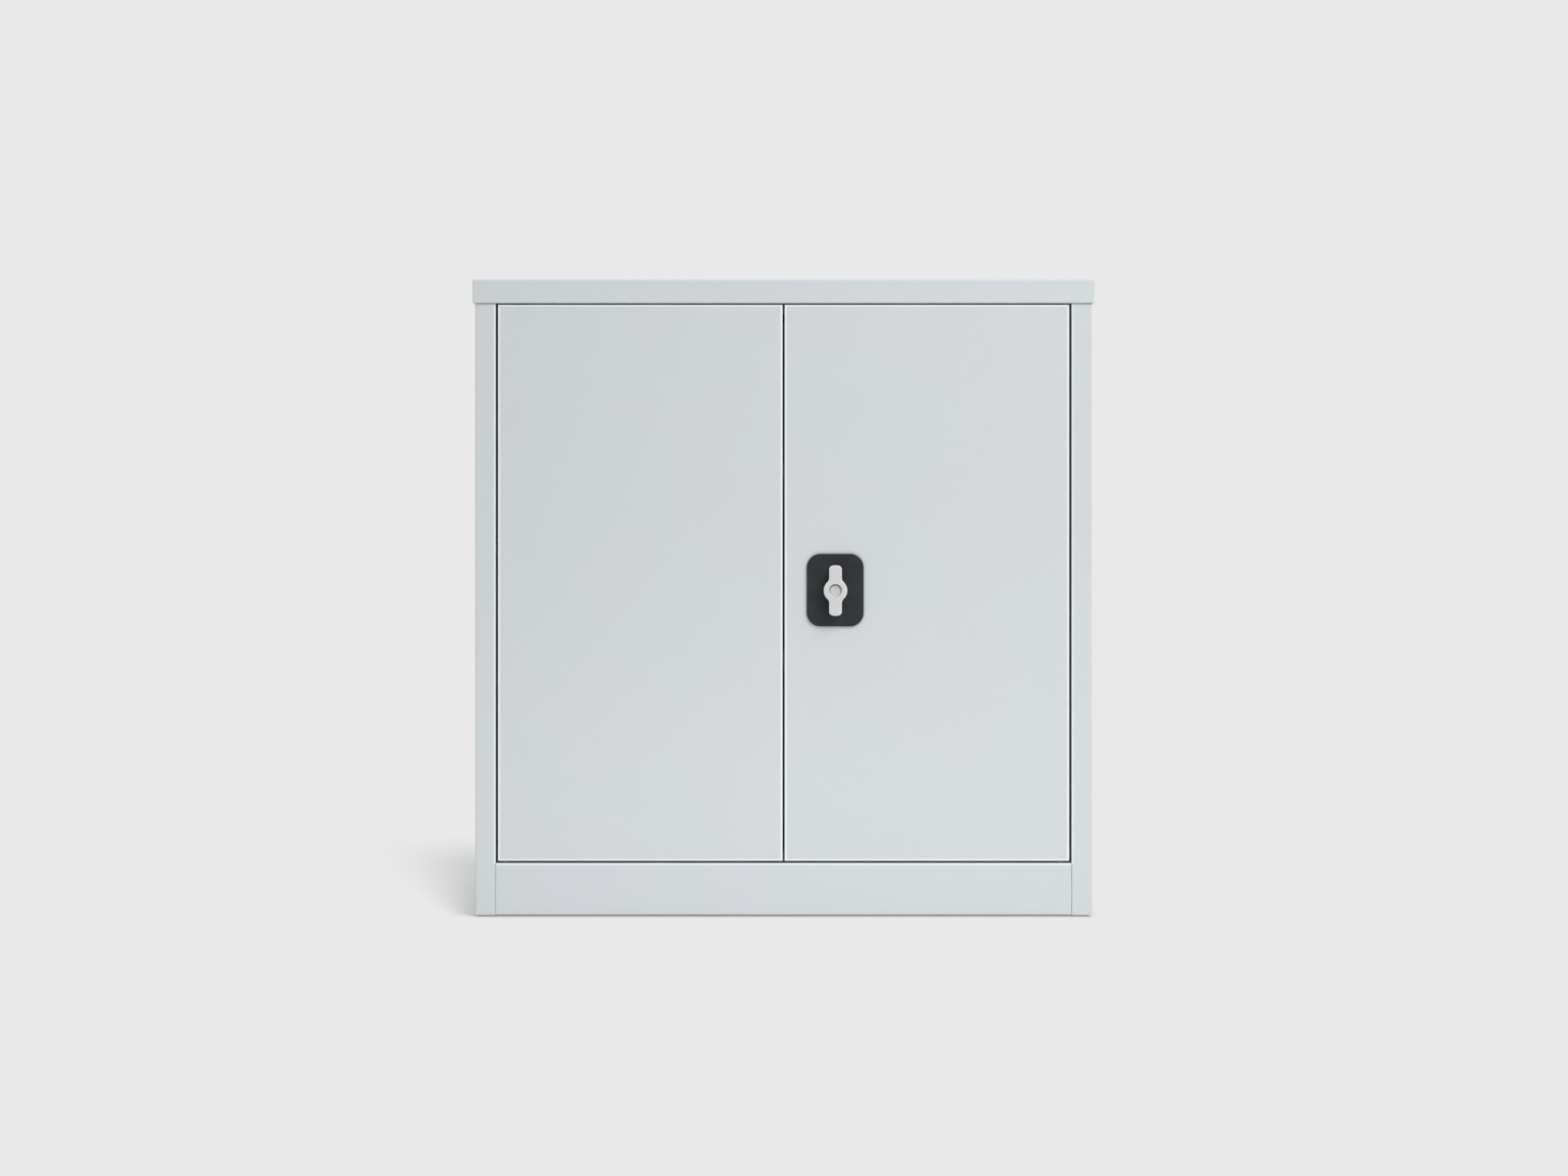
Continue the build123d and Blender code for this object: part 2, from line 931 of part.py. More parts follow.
# Crank with its two pins, half a turn apart
with BuildPart() as crank_plate:
    pins_at = [(crank_side, -crank_rise), (-crank_side, crank_rise)]
    with BuildSketch(facing(crank_front + crank_thickness, lock_x, lock_z)):
        Circle(crank_radius)
        Rectangle(crank_square, crank_square, mode=Mode.SUBTRACT)
        with Locations(*pins_at):
            Circle(crank_pin_radius, mode=Mode.SUBTRACT)
    extrude(amount=crank_thickness)
keep(crank_plate, "crank_plate")

with BuildPart() as crank_pins:
    pin_neck = rod_back + rod_gap
    posts(
        facing(pin_neck, lock_x, lock_z),
        pins_at,
        crank_pin_radius,
        pin_neck - crank_front,
    )
    posts(
        facing(pin_neck + crank_pin_head, lock_x, lock_z),
        pins_at,
        crank_pin_head_radius,
        crank_pin_head,
    )
keep(crank_pins, "crank_pins")

# Spacer, tongue and nut on the spindle's inner end
with BuildPart() as spindle_spacer:
    with BuildSketch(facing(tongue_front, lock_x, lock_z)):
        Circle(spacer_radius)
        Circle(stem_radius, mode=Mode.SUBTRACT)
    extrude(amount=tongue_front - crank_front - crank_thickness)
keep(spindle_spacer, "spindle_spacer")

with BuildPart() as lock_tongue:
    with BuildSketch(facing(tongue_back, lock_x, lock_z)):
        Circle(tongue_root_radius)
        with Locations((0, tongue_reach - tongue_tip_radius)):
            Circle(tongue_tip_radius)
        make_hull()
        Rectangle(tongue_square, tongue_square, mode=Mode.SUBTRACT)
    extrude(amount=tongue_thickness)
keep(lock_tongue, "lock_tongue")

with BuildPart() as spindle_nut:
    with BuildSketch(facing(tongue_back + nut_height, lock_x, lock_z)):
        RegularPolygon(nut_width / 2, 6, major_radius=False)
        Circle(thread_radius, mode=Mode.SUBTRACT)
    extrude(amount=nut_height)
keep(spindle_nut, "spindle_nut")


# Locking rods, one up and one down, each with a slotted yoke on its crank pin
def locking_rod(x, up, end):
    """Flat rod from its yoke, at the crank's open position, to a door edge."""
    yoke = lock_z - up * crank_rise
    yoke_height = yoke_slot_height + 2 * yoke_wall
    length = up * (end - yoke)
    with BuildPart() as rod:
        with BuildSketch(facing(rod_back, x, yoke)):
            with Locations((0, up * length / 2)):
                Rectangle(rod_width, length)
            chamfer(vertices().group_by(Axis.Y)[-1 if up > 0 else 0], rod_tip_chamfer)
            Rectangle(yoke_slot_length + 2 * yoke_wall, yoke_height)
            SlotOverall(yoke_slot_length, yoke_slot_height, mode=Mode.SUBTRACT)
        extrude(amount=rod_thickness)
    return rod


keep(locking_rod(upper_rod_x, 1, door_head - rod_inset), "upper_rod")
keep(locking_rod(lower_rod_x, -1, door_foot + rod_inset), "lower_rod")

# Guides for the rods, fixed behind the door skin
with BuildPart() as rod_guides:
    guides_at = [
        (upper_rod_x, door_head - guide_end_distance),
        (upper_rod_x, lock_z + guide_lock_distance),
        (lower_rod_x, lock_z - guide_lock_distance),
        (lower_rod_x, door_foot + guide_end_distance),
    ]
    guide_back = rod_back + guide_play + guide_wall
    bars(facing(guide_back), guides_at, guide_width, guide_height, guide_back - sheet)
    bars(
        facing(rod_back + guide_play),
        guides_at,
        rod_width + 2 * guide_play,
        guide_height + overrun,
        rod_thickness + 2 * guide_play,
        Mode.SUBTRACT,
    )
keep(rod_guides, "rod_guides")
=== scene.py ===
"""Metal storage cabinet: a finish for each packed piece, a cast wing handle, and a pale studio.

Lengths are metres. X runs to the right, Y from the doors to the back panel, Z up from the floor.
"""

import json

from math import atan2, cos, pi, radians, sin, sqrt

import bmesh
import bpy
from bpy.props import FloatProperty, FloatVectorProperty, IntProperty, PointerProperty
from bpy.types import Operator, Panel, PropertyGroup
from mathutils import Matrix, Vector


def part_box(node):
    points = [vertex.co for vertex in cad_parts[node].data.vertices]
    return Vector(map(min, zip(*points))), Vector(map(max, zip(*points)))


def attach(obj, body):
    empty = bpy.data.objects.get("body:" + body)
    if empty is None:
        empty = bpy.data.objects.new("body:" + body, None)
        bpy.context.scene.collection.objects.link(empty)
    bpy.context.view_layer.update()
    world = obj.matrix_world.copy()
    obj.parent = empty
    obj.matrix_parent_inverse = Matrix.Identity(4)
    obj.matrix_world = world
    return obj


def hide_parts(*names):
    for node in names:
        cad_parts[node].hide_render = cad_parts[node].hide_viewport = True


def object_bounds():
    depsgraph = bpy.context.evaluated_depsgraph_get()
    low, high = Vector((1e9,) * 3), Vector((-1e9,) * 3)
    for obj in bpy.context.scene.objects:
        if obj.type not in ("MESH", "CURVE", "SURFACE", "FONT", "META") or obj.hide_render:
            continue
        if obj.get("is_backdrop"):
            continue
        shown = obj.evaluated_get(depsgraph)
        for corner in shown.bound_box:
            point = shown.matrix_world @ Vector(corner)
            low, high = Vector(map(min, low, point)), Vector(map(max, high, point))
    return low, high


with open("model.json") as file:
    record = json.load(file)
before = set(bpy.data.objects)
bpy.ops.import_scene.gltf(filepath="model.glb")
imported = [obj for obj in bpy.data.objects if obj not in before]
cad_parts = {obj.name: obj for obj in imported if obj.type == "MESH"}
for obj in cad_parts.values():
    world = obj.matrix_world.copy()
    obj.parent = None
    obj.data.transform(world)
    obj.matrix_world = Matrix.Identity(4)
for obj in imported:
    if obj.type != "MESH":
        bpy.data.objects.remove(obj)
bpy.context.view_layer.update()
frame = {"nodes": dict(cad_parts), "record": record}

bl_info = {
    "name": "Metal storage cabinet",
    "version": (1, 0, 0),
    "blender": (4, 5, 0),
    "location": "3D View > Sidebar > Cabinet",
    "description": "Finishes, wing handle and studio for a two-door steel cabinet",
    "category": "Object",
}

SLOTS = {part["node"]: part["material_slot"] for part in frame["record"]["subparts"]}
WHITE = (1.0, 1.0, 1.0)
MERGE = 1e-6  # corners closer than this are one
SHARP_FOLD = radians(40)  # edges that fold more than this stay sharp

# Roughness, breadth and height of the grain, and gloss of each moulded or blackened finish
MOULDINGS = {
    "nylon": {"rough": 0.5, "grain": 0.0006, "grain_height": 0.00002, "gloss": 0.5},
    "rubber": {"rough": 0.78, "grain": 0.0009, "grain_height": 0.00003, "gloss": 0.5},
    "plate": {"rough": 0.46, "grain": 0.0007, "grain_height": 0.00002, "gloss": 0.13},
    "barrel": {"rough": 0.42, "grain": 0.0005, "grain_height": 0.000006, "gloss": 0.3},
}
WEAR_BREADTH = 40  # breadth of a worn patch on them, in grains
WEAR_PALE = 0.05  # how much paler such a patch is
WEAR_SHARE = 0.5  # how much of that shows
WEAR_ROUGH = 0.1  # how much the patches change the roughness
PEBBLE_ROUGH = 0.14  # how much the grain changes it
# Painted shade on the lock plate's side, darker than its face
SIDE_SHADE_SHARE = 0.3  # brightness of the lock plate's side, next to its face
SIDE_START = 0.0001  # how far behind the face the side begins
SIDE_END = 0.0005  # how far behind the face it is full

# Depths on the wing handle, in widths of its front edge, where the painted highlight begins, is
# full, starts to fade and is gone; then the radius, in recess radii, beyond which it shows in full
HIGHLIGHT_SHARES = (0.02, 0.25, 1.0, 1.6)
HIGHLIGHT_CLEAR_SHARE = 1.2


def nodes_in(*slots):
    """Names of the packed nodes whose finish comes from these material slots."""
    return [node for node, slot in SLOTS.items() if slot in slots]


def colour(name, description, default):
    """Colour property, as linear red, green and blue."""
    return FloatVectorProperty(
        name=name, description=description, subtype="COLOR", size=3, min=0, max=1, default=default
    )


def length(name, description, default):
    """Length property, in metres."""
    return FloatProperty(
        name=name, description=description, subtype="DISTANCE", unit="LENGTH", default=default
    )


def position(name, description, default):
    """Place property, in metres."""
    return FloatVectorProperty(
        name=name,
        description=description,
        subtype="TRANSLATION",
        unit="LENGTH",
        size=3,
        default=default,
    )


def share(name, description, default):
    """Share property, from none to all."""
    return FloatProperty(
        name=name, description=description, subtype="FACTOR", min=0, max=1, default=default
    )


class CabinetCoat(PropertyGroup):
    """Powder coat on every sheet."""

    tone: colour("Colour", "Light grey with a little blue", (0.658, 0.686, 0.714))
    cool_tone: colour("Cool colour", "Faint patches in the coat", (0.644, 0.692, 0.706))
    patch: length("Patch size", "Breadth of the faint patches", 0.22)
    patch_start: share("Patch start", "Level of the noise where a patch begins", 0.35)
    patch_full: share("Patch full", "Level of the noise where a patch is full", 0.65)
    patch_share: share("Patch share", "How much of the cool colour a patch takes", 0.6)
    patch_rough: share("Patch roughness", "How much the patches change the roughness", 0.05)
    rough: share("Roughness", "Roughness of the cured coat", 0.46)
    index: FloatProperty(name="Index", description="Refractive index of the coat", default=1.48)
    haze: share("Haze", "White over the whole coat", 0.02)
    # Painted highlight along the sheet's edges: the coat is made paler and smoother there, as light
    # would catch the bends
    edge_width: length("Thin edge", "How far the coat runs thin beside an edge", 0.0022)
    edge_wobble: length("Edge wobble", "Breadth of the wobbles in that thin edge", 0.0088)
    edge_highlight_share: share("Edge lift", "How much paler the coat is where it runs thin", 0.12)
    edge_gloss: share("Edge gloss", "How much smoother the coat is where it runs thin", 0.08)
    # Painted highlight on the bends beside the gaps, where light catches them
    bend_width: length("Bend width", "How far a bend beside a gap shows paler", 0.0042)
    bend_highlight_tone: colour("Bend colour", "Bluish white that such a bend goes to", (0.93, 0.965, 1.0))
    bend_highlight_share: share("Bend lift", "How far the coat goes to that white on such a bend", 0.8)
    bend_depth: length("Bend depth", "How far behind the sheet's face that goes", 0.0014)
    # Painted shade inside the gaps between doors and body: the coat goes to dark grey there
    gap_shade_tone: colour("Gap colour", "Dull grey inside the gaps", (0.092, 0.113, 0.132))
    gap_shade: share("Gap dulling", "How far the body's coat goes to that grey", 0.8)
    door_shade: share("Door dulling", "How far the doors' coat goes to that grey", 0.5)
    gap_start: length("Gap start", "How far behind the sheet's face the grey begins", 0.0003)
    gap_depth: length("Gap depth", "How far behind the body's face the grey reaches", 0.022)
    door_depth: length("Door depth", "How far behind a door's face the grey reaches", 0.006)
    # Painted shadow under the cap's overhang: a dark line on the body
    cap_shadow_width: length("Seam width", "Dull line on the body under the cap", 0.0015)
    cap_shadow_share: share("Seam dulling", "How far the coat goes to that grey there", 0.6)
    stop_lip: length("Stop lip", "Height of the kick plate's lip behind the doors", 0.014)
    peel: length("Orange peel", "Breadth of the ripples in the coat", 0.0024)
    peel_height: length("Peel height", "Height of the ripples", 0.000018)
    grain: length("Grain", "Breadth of the fine texture", 0.0007)
    grain_height: length("Grain height", "Height of the fine texture", 0.000012)
    grain_pale: share("Grain paling", "White that the fine texture adds and takes", 0.05)
    grain_rough: share("Grain roughness", "How much it changes the roughness", 0.1)
    sheet_wave: length("Sheet wave", "Breadth of the waves in a flat sheet", 0.28)
    wave_height: length("Wave height", "Height of those waves", 0.00008)


class CabinetFittings(PropertyGroup):
    """Metal and plastic fittings."""

    zinc: colour("Zinc", "Bright zinc plate", (0.66, 0.67, 0.68))
    zinc_shade: colour("Zinc shade", "Duller crystals in the plate", (0.53, 0.54, 0.56))
    zinc_metal: share("Zinc metal", "Metallic share of the plate", 0.92)
    zinc_rough: share("Zinc roughness", "Roughness of the plate", 0.3)
    crystal: length("Crystal", "Breadth of a crystal in the plate", 0.004)
    crystal_blur: share("Crystal blur", "How softly the crystals meet", 0.6)
    crystal_rough: share("Crystal roughness", "How much they change the roughness", 0.12)
    cloud: length("Cloud", "Breadth of the clouds over the crystals", 0.03)
    mark: length("Rolling mark", "Breadth of the marks rolled into the sheet", 0.0012)
    mark_flow: share("Mark flow", "How close the marks are upwards, as a share of across", 0.08)
    mark_rough: share("Mark roughness", "How much the marks change the roughness", 0.12)
    mark_height: length("Mark height", "Height of the marks", 0.00001)
    nylon: colour("Black nylon", "Moulded glides, guides and catches", (0.018, 0.018, 0.02))
    rubber: colour("Rubber", "Door bumpers", (0.028, 0.028, 0.028))


class CabinetLock(PropertyGroup):
    """Wing handle, its plate and the key plug."""

    wing_width: length("Wing width", "Across the bar", 0.0181)
    wing_thickness: length("Wing thickness", "Front to back of the bar", 0.013)
    wing_corner: length("Wing corner", "Radius of the bar's corners", 0.0056)
    wing_dome: length("Wing dome", "Rise of the bar's rounded ends", 0.002)
    hub_blend: length("Hub blend", "Radius where the bar meets the hub", 0.009)
    front_edge: length("Front edge", "Width of the rounded front edge", 0.0022)
    back_edge: length("Back edge", "Width of the rounded back edge", 0.0007)
    recess_radius: length("Recess radius", "Mouth of the recess round the key plug", 0.0096)
    recess_rim: length("Recess rim", "Rounding of the recess's mouth", 0.0007)
    # The hole lies above the plug's axis so that the black barrel shows above the plug as a dark
    # crescent: a painted shadow
    recess_hole: length("Recess hole", "Radius of the hole in the recess's floor", 0.0083)
    crescent_shadow_skew: length("Recess skew", "How far that hole lies above the key plug's axis", 0.0008)
    recess_lip: length("Recess lip", "Thickness of the recess's floor over the barrel", 0.0003)
    stem_step: length("Stem step", "How far the hub's stem stands in from the hub", 0.0006)
    arc_steps: IntProperty(
        name="Arc steps", description="Edges in a quarter of the hub", min=4, default=24
    )
    edge_steps: IntProperty(
        name="Edge steps", description="Faces across a rounded edge", min=2, default=6
    )
    handle: colour("Handle", "Satin grey lacquer", (0.638, 0.65, 0.64))
    lacquer_rough: share("Lacquer roughness", "Roughness of the lacquer", 0.34)
    lacquer_coat: share("Lacquer coat", "Clear coat over the lacquer", 0.25)
    lacquer_coat_rough: share("Coat roughness", "Roughness of that clear coat", 0.18)
    # Painted highlight along the handle's rounded edges
    edge_highlight: share("Edge rub", "How much paler the handle's rounded edges are", 0.9)
    rub: length("Rub", "Breadth of the places rubbed by hands", 0.012)
    rub_pale: share("Rub paling", "How much paler such a place is", 0.05)
    rub_rough: share("Rub roughness", "How much it changes the roughness", 0.12)
    rub_coat: share("Rub coat", "How much it changes the clear coat", 0.2)
    speck: length("Speck", "Breadth of the specks in the lacquer", 0.0006)
    speck_pale: share("Speck paling", "White that the specks add and take", 0.06)
    speck_rough: share("Speck roughness", "How much they change the roughness", 0.06)
    cast: length("Casting", "Breadth of the casting's ripples under the lacquer", 0.0045)
    cast_height: length("Casting height", "Height of those ripples", 0.00002)
    plate: colour("Plate", "Black plate", (0.0185, 0.02, 0.0245))
    plug: colour("Plug", "Satin grey key plug", (0.67, 0.675, 0.68))
    plug_shade: colour("Plug shade", "Duller places on the plug", (0.48, 0.485, 0.49))
    plug_dull: share("Plug dulling", "How much of that shows", 0.2)
    plug_rough: share("Plug roughness", "Roughness of the plug", 0.36)
    dull_rough: share("Dull roughness", "How much the dull places change it", 0.14)
    dull_place: length("Dull place", "Breadth of a dull place on the plug", 0.0015)
    ring_pitch: length("Ring pitch", "From one turning ring on the plug to the next", 0.00035)
    ring_height: length("Ring height", "Height of the rings", 0.000003)
    # Blackened barrel; through the skewed hole its face shows above the plug as a painted shadow
    # crescent
    barrel: colour("Barrel", "Blackened steel", (0.02, 0.02, 0.022))


class CabinetStudio(PropertyGroup):
    """Floor, lights and camera."""

    backdrop: colour("Backdrop", "Pale grey of floor and background", (0.815, 0.815, 0.815))
    camera_distance: length("Camera distance", "From the closed doors to the camera", 4.0)
    camera_height: length("Camera height", "Height of the lens", 0.594)
    picture_width: length("Picture width", "Breadth of the picture at the doors", 2.288)
    picture_middle: length("Picture middle", "Height of the picture's middle", 0.48)
    picture_shift: length("Picture shift", "Middle of the picture, right of the cabinet's", 0.0006)
    camera_reach: length("Camera reach", "How far the camera sees", 100.0)
    floor_reach: length("Floor reach", "From the middle of the floor to its edge", 30.0)
    floor_rough: share("Floor roughness", "Roughness of the floor", 0.5)
    key_power: FloatProperty(
        name="Key light", description="Power of the high lamp", unit="POWER", default=57.0
    )
    key_place: position("Key place", "Where the high lamp hangs", (1.5, -2.6, 3.0))
    key_breadth: length("Key breadth", "Breadth of the high lamp", 1.4)
    low_power: FloatProperty(
        name="Low light", description="Power of the lamp by the floor", unit="POWER", default=1.68
    )
    low_place: position("Low place", "Where it stands, from the doors' foot", (0.2, -0.7, 0.03))
    low_target: position("Low target", "Where it points, from the doors' foot", (0.2, 0.0, 0.06))
    low_breadth: length("Low breadth", "Breadth of the lamp by the floor", 2.0)
    low_height: length("Low height", "Height of the lamp by the floor", 0.05)
    sky: FloatProperty(name="Sky", description="Strength of the even light", default=0.1)
    overhead: FloatProperty(
        name="Overhead", description="Strength added to the even light straight above", default=0.52
    )
    flanks: FloatProperty(
        name="Flanks", description="Strength added to it at left and right", default=0.45
    )
    shadow: share("Shadow", "How much of the floor's side shadow shows", 0.74)
    contact: share("Contact", "How much of the floor's shadow shows close to the foot", 0.4)
    under: share("Under", "How much of the floor's shadow shows under the body", 0.72)
    contact_reach: length("Contact reach", "How far that close shadow reaches", 0.02)
    under_blur: length("Under blur", "How softly the shadow under the body ends", 0.004)
    shadow_blur: length("Shadow blur", "How softly the side shadow begins at the doors", 0.01)
    shadow_start: length("Shadow start", "Breadth of the side shadow at the doors", 0.05)
    shadow_spread: FloatProperty(
        name="Shadow spread", description="Growth of the side shadow with depth", default=0.31
    )
    shadow_end: length("Shadow end", "How far behind the doors the side shadow ends", 1.05)


class Signal:
    """Number made by a shader node, which goes into sums as a plain number does."""

    def __init__(self, finish, socket):
        self.finish = finish
        self.socket = socket

    def math(self, operation, *values):
        """Math node on these values."""
        return self.finish.add("ShaderNodeMath", {"operation": operation}, dict(enumerate(values)))

    def __add__(self, other):
        return self.math("ADD", self, other)

    def __radd__(self, other):
        return self.math("ADD", other, self)

    def __sub__(self, other):
        return self.math("SUBTRACT", self, other)

    def __rsub__(self, other):
        return self.math("SUBTRACT", other, self)

    def __mul__(self, other):
        return self.math("MULTIPLY", self, other)

    def __rmul__(self, other):
        return self.math("MULTIPLY", other, self)

    def __truediv__(self, other):
        return self.math("DIVIDE", self, other)

    def __abs__(self):
        return self.math("ABSOLUTE", self)

    def around(self, breadth):
        """Noise from 0 to 1, moved to vary about nought over that breadth."""
        return (self - 0.5) * breadth

    def least(self, other):
        """The smaller of two numbers."""
        return self.math("MINIMUM", self, other)

    def most(self, other):
        """The larger of two numbers."""
        return self.math("MAXIMUM", self, other)

    def rise(self, start, end):
        """Smooth step from 0 at start to 1 at end."""
        return self.finish.add(
            "ShaderNodeMapRange",
            {"interpolation_type": "SMOOTHSTEP"},
            {"Value": self, "From Min": start, "From Max": end},
        )


class Finish:
    """One material, or the world, and the nodes that make it."""

    def __init__(self, name, kind="materials"):
        self.owner = getattr(bpy.data, kind).new(name)
        self.owner.use_nodes = True
        self.tree = self.owner.node_tree
        self.tree.nodes.clear()

    def add(self, kind, settings=None, inputs=None, output=0):
        """Node of that kind: its settings are made first, then its sockets; gives one output."""
        node = self.tree.nodes.new(kind)
        for name, value in (settings or {}).items():
            setattr(node, name, value)
        for key, value in (inputs or {}).items():
            if isinstance(value, Signal):
                self.tree.links.new(value.socket, node.inputs[key])
            else:
                node.inputs[key].default_value = value
        return Signal(self, node.outputs[output])

    def place(self):
        """Position on the object, which lies in the cabinet's own frame."""
        return self.add("ShaderNodeTexCoord", output="Object")

    def split(self, vector):
        """The three parts of a vector."""
        node = self.add("ShaderNodeSeparateXYZ", inputs={0: vector}).socket.node
        return [Signal(self, output) for output in node.outputs]

    def axes(self):
        """The three parts of that position."""
        return self.split(self.place())

    def radius(self, middle):
        """Distance from an axis that runs front to back through that point."""
        across, _, upward = self.axes()
        away = self.add("ShaderNodeCombineXYZ", inputs={0: across - middle.x, 2: upward - middle.z})
        return self.add("ShaderNodeVectorMath", {"operation": "LENGTH"}, {0: away}, output="Value")

    def noise(self, breadth, detail=2.0, roughness=0.5, stretch=(1, 1, 1)):
        """Noise from 0 to 1 whose blotches are about that breadth."""
        spread = self.add(
            "ShaderNodeVectorMath",
            {"operation": "MULTIPLY"},
            {0: self.place(), 1: Vector(stretch) / breadth},
        )
        return self.add(
            "ShaderNodeTexNoise",
            inputs={"Vector": spread, "Scale": 1.0, "Detail": detail, "Roughness": roughness},
        )

    def blend(self, amount, first, second):
        """Colour between two colours."""
        given = {0: amount}
        for key, value in ((6, first), (7, second)):
            given[key] = value if isinstance(value, Signal) else (*value, 1.0)
        return self.add("ShaderNodeMix", {"data_type": "RGBA"}, given, output=2)

    def bump(self, height, distance, under=None):
        """Normal tilted by a height from 0 to 1 that stands for that distance."""
        given = {"Height": height, "Distance": distance, "Strength": 1.0}
        if under:
            given["Normal"] = under
        return self.add("ShaderNodeBump", inputs=given)

    def close(self, shader, kind="ShaderNodeOutputMaterial"):
        """Join the shader to an output node, and give the material or world."""
        node = self.tree.nodes.new(kind)
        self.tree.links.new(shader.socket, node.inputs["Surface"])
        return self.owner

    def surface(self, **sockets):
        """Principled surface; underscores in a socket's name stand for spaces."""
        given = {name.replace("_", " "): value for name, value in sockets.items()}
        return self.close(self.add("ShaderNodeBsdfPrincipled", inputs=given))

    def backdrop_rays(self):
        """1 for rays that see the background: from the camera, from gloss and through glass."""
        node = self.add("ShaderNodeLightPath").socket.node
        camera, gloss, glass = [
            Signal(self, node.outputs[name])
            for name in ("Is Camera Ray", "Is Glossy Ray", "Is Transmission Ray")
        ]
        return (camera + gloss + glass).least(1.0)


def gap_bends(coat):
    """Sheets beside a gap: planes across X or Z of their bends, foot, share of painted shade inside
    the gap and its depth.
    """
    low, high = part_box("kick_plate")
    kick_top = high.z - coat.stop_lip
    bends = {
        "left_side_panel": ([(0, low.x)], kick_top, coat.gap_shade, coat.gap_depth),
        "right_side_panel": ([(0, high.x)], kick_top, coat.gap_shade, coat.gap_depth),
        "kick_plate": ([(2, kick_top)], low.z, coat.gap_shade, coat.gap_depth),
    }
    for door in ("left_door", "right_door"):
        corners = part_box(door)
        planes = [(axis, corner[axis]) for axis in (0, 2) for corner in corners]
        bends[door] = (planes, kick_top, coat.door_shade, coat.door_depth)
    return bends


def gap_marks(coat, parts, front, planes, foot, dulling, depth):
    """Painted highlight where a sheet bends beside a gap, and painted shade inside the gap."""
    bend_highlight = None
    shaded_wall = None
    for axis, level in planes:
        off = abs(parts[axis] - level)
        near = 1 - off.rise(coat.bend_width / 2, coat.bend_width)
        on = 1 - off.rise(coat.bend_depth / 4, coat.bend_depth / 2)
        bend_highlight = near if bend_highlight is None else bend_highlight.most(near)
        shaded_wall = on if shaded_wall is None else shaded_wall.most(on)
    behind = parts[1] - front
    above = parts[2].rise(foot - coat.bend_width / 2, foot)
    facing = 1 - behind.rise(coat.bend_depth / 2, coat.bend_depth)
    inside = behind.rise(coat.gap_start, 2 * coat.gap_start)
    fade = 1 - behind.rise(depth / 2, depth)
    return bend_highlight * facing * above * coat.bend_highlight_share, shaded_wall * inside * fade * above * dulling


def cap_shadow_line(coat, height):
    """Painted shadow line on the body just under the cap's skirt."""
    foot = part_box("top_panel")[0].z
    return height.rise(foot - coat.cap_shadow_width, foot - coat.cap_shadow_width / 2)


def powder_coat(node, coat, bends):
    """Fine-textured powder coat, with painted highlights at bends beside a gap and along the
    sheet's edges, and painted shade inside the gaps and under the cap.
    """
    finish = Finish(f"{node}_coat")
    low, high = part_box(node)
    parts = finish.axes()
    off = [
        (axis - near).least(far - axis)
        for axis, near, far in zip(parts, low, high)
    ]
    across, deep, upward = off
    edge = across.least(deep).most(across.most(deep).least(upward))
    # Painted highlight along the sheet's edges, with a wobbly border
    wobble = finish.noise(coat.edge_wobble, detail=3.0)
    highlit = 1 - (edge + wobble.around(coat.edge_width)).rise(0.0, coat.edge_width)
    patches = finish.noise(coat.patch, detail=1.0).rise(coat.patch_start, coat.patch_full)
    grain = finish.noise(coat.grain, roughness=0.6)
    peel = finish.noise(coat.peel, detail=1.0)
    tone = finish.blend(patches * coat.patch_share, coat.tone, coat.cool_tone)
    tone = finish.blend(grain.around(coat.grain_pale) + coat.haze, tone, WHITE)
    tone = finish.blend(highlit * coat.edge_highlight_share, tone, WHITE)
    # Painted highlight on bends beside a gap, and painted shade inside the gap
    if bends:
        bend_highlight, dull = gap_marks(coat, parts, low.y, *bends)
        tone = finish.blend(bend_highlight, tone, coat.bend_highlight_tone)
        # Painted shade inside the gap
        tone = finish.blend(dull, tone, coat.gap_shade_tone)
    # Painted shadow line under the cap's overhang
    if node in ("left_side_panel", "right_side_panel", "back_panel"):
        tone = finish.blend(cap_shadow_line(coat, parts[2]) * coat.cap_shadow_share, tone, coat.gap_shade_tone)
    varied = grain.around(coat.grain_rough) + patches.around(coat.patch_rough)
    waves = finish.bump(finish.noise(coat.sheet_wave, detail=0.0), coat.wave_height)
    ripples = finish.bump(peel, coat.peel_height, waves)
    return finish.surface(
        Base_Color=tone,
        Roughness=coat.rough + varied - highlit * coat.edge_gloss,
        IOR=coat.index,
        Normal=finish.bump(grain, coat.grain_height, ripples),
    )


def zinc_plate(fittings):
    """Bright zinc plate with faint crystals and rolling marks."""
    finish = Finish("zinc_plate")
    crystals = finish.add(
        "ShaderNodeTexVoronoi",
        {"feature": "SMOOTH_F1"},
        {
            "Vector": finish.place(),
            "Scale": 1 / fittings.crystal,
            "Smoothness": fittings.crystal_blur,
        },
    )
    marks = finish.noise(fittings.mark, stretch=(1, 1, fittings.mark_flow))
    clouds = finish.noise(fittings.cloud, detail=3.0)
    varied = crystals * fittings.crystal_rough + marks.around(fittings.mark_rough)
    return finish.surface(
        Base_Color=finish.blend((crystals + clouds) / 2, fittings.zinc, fittings.zinc_shade),
        Metallic=fittings.zinc_metal,
        Roughness=fittings.zinc_rough + varied,
        Normal=finish.bump(marks, fittings.mark_height),
    )


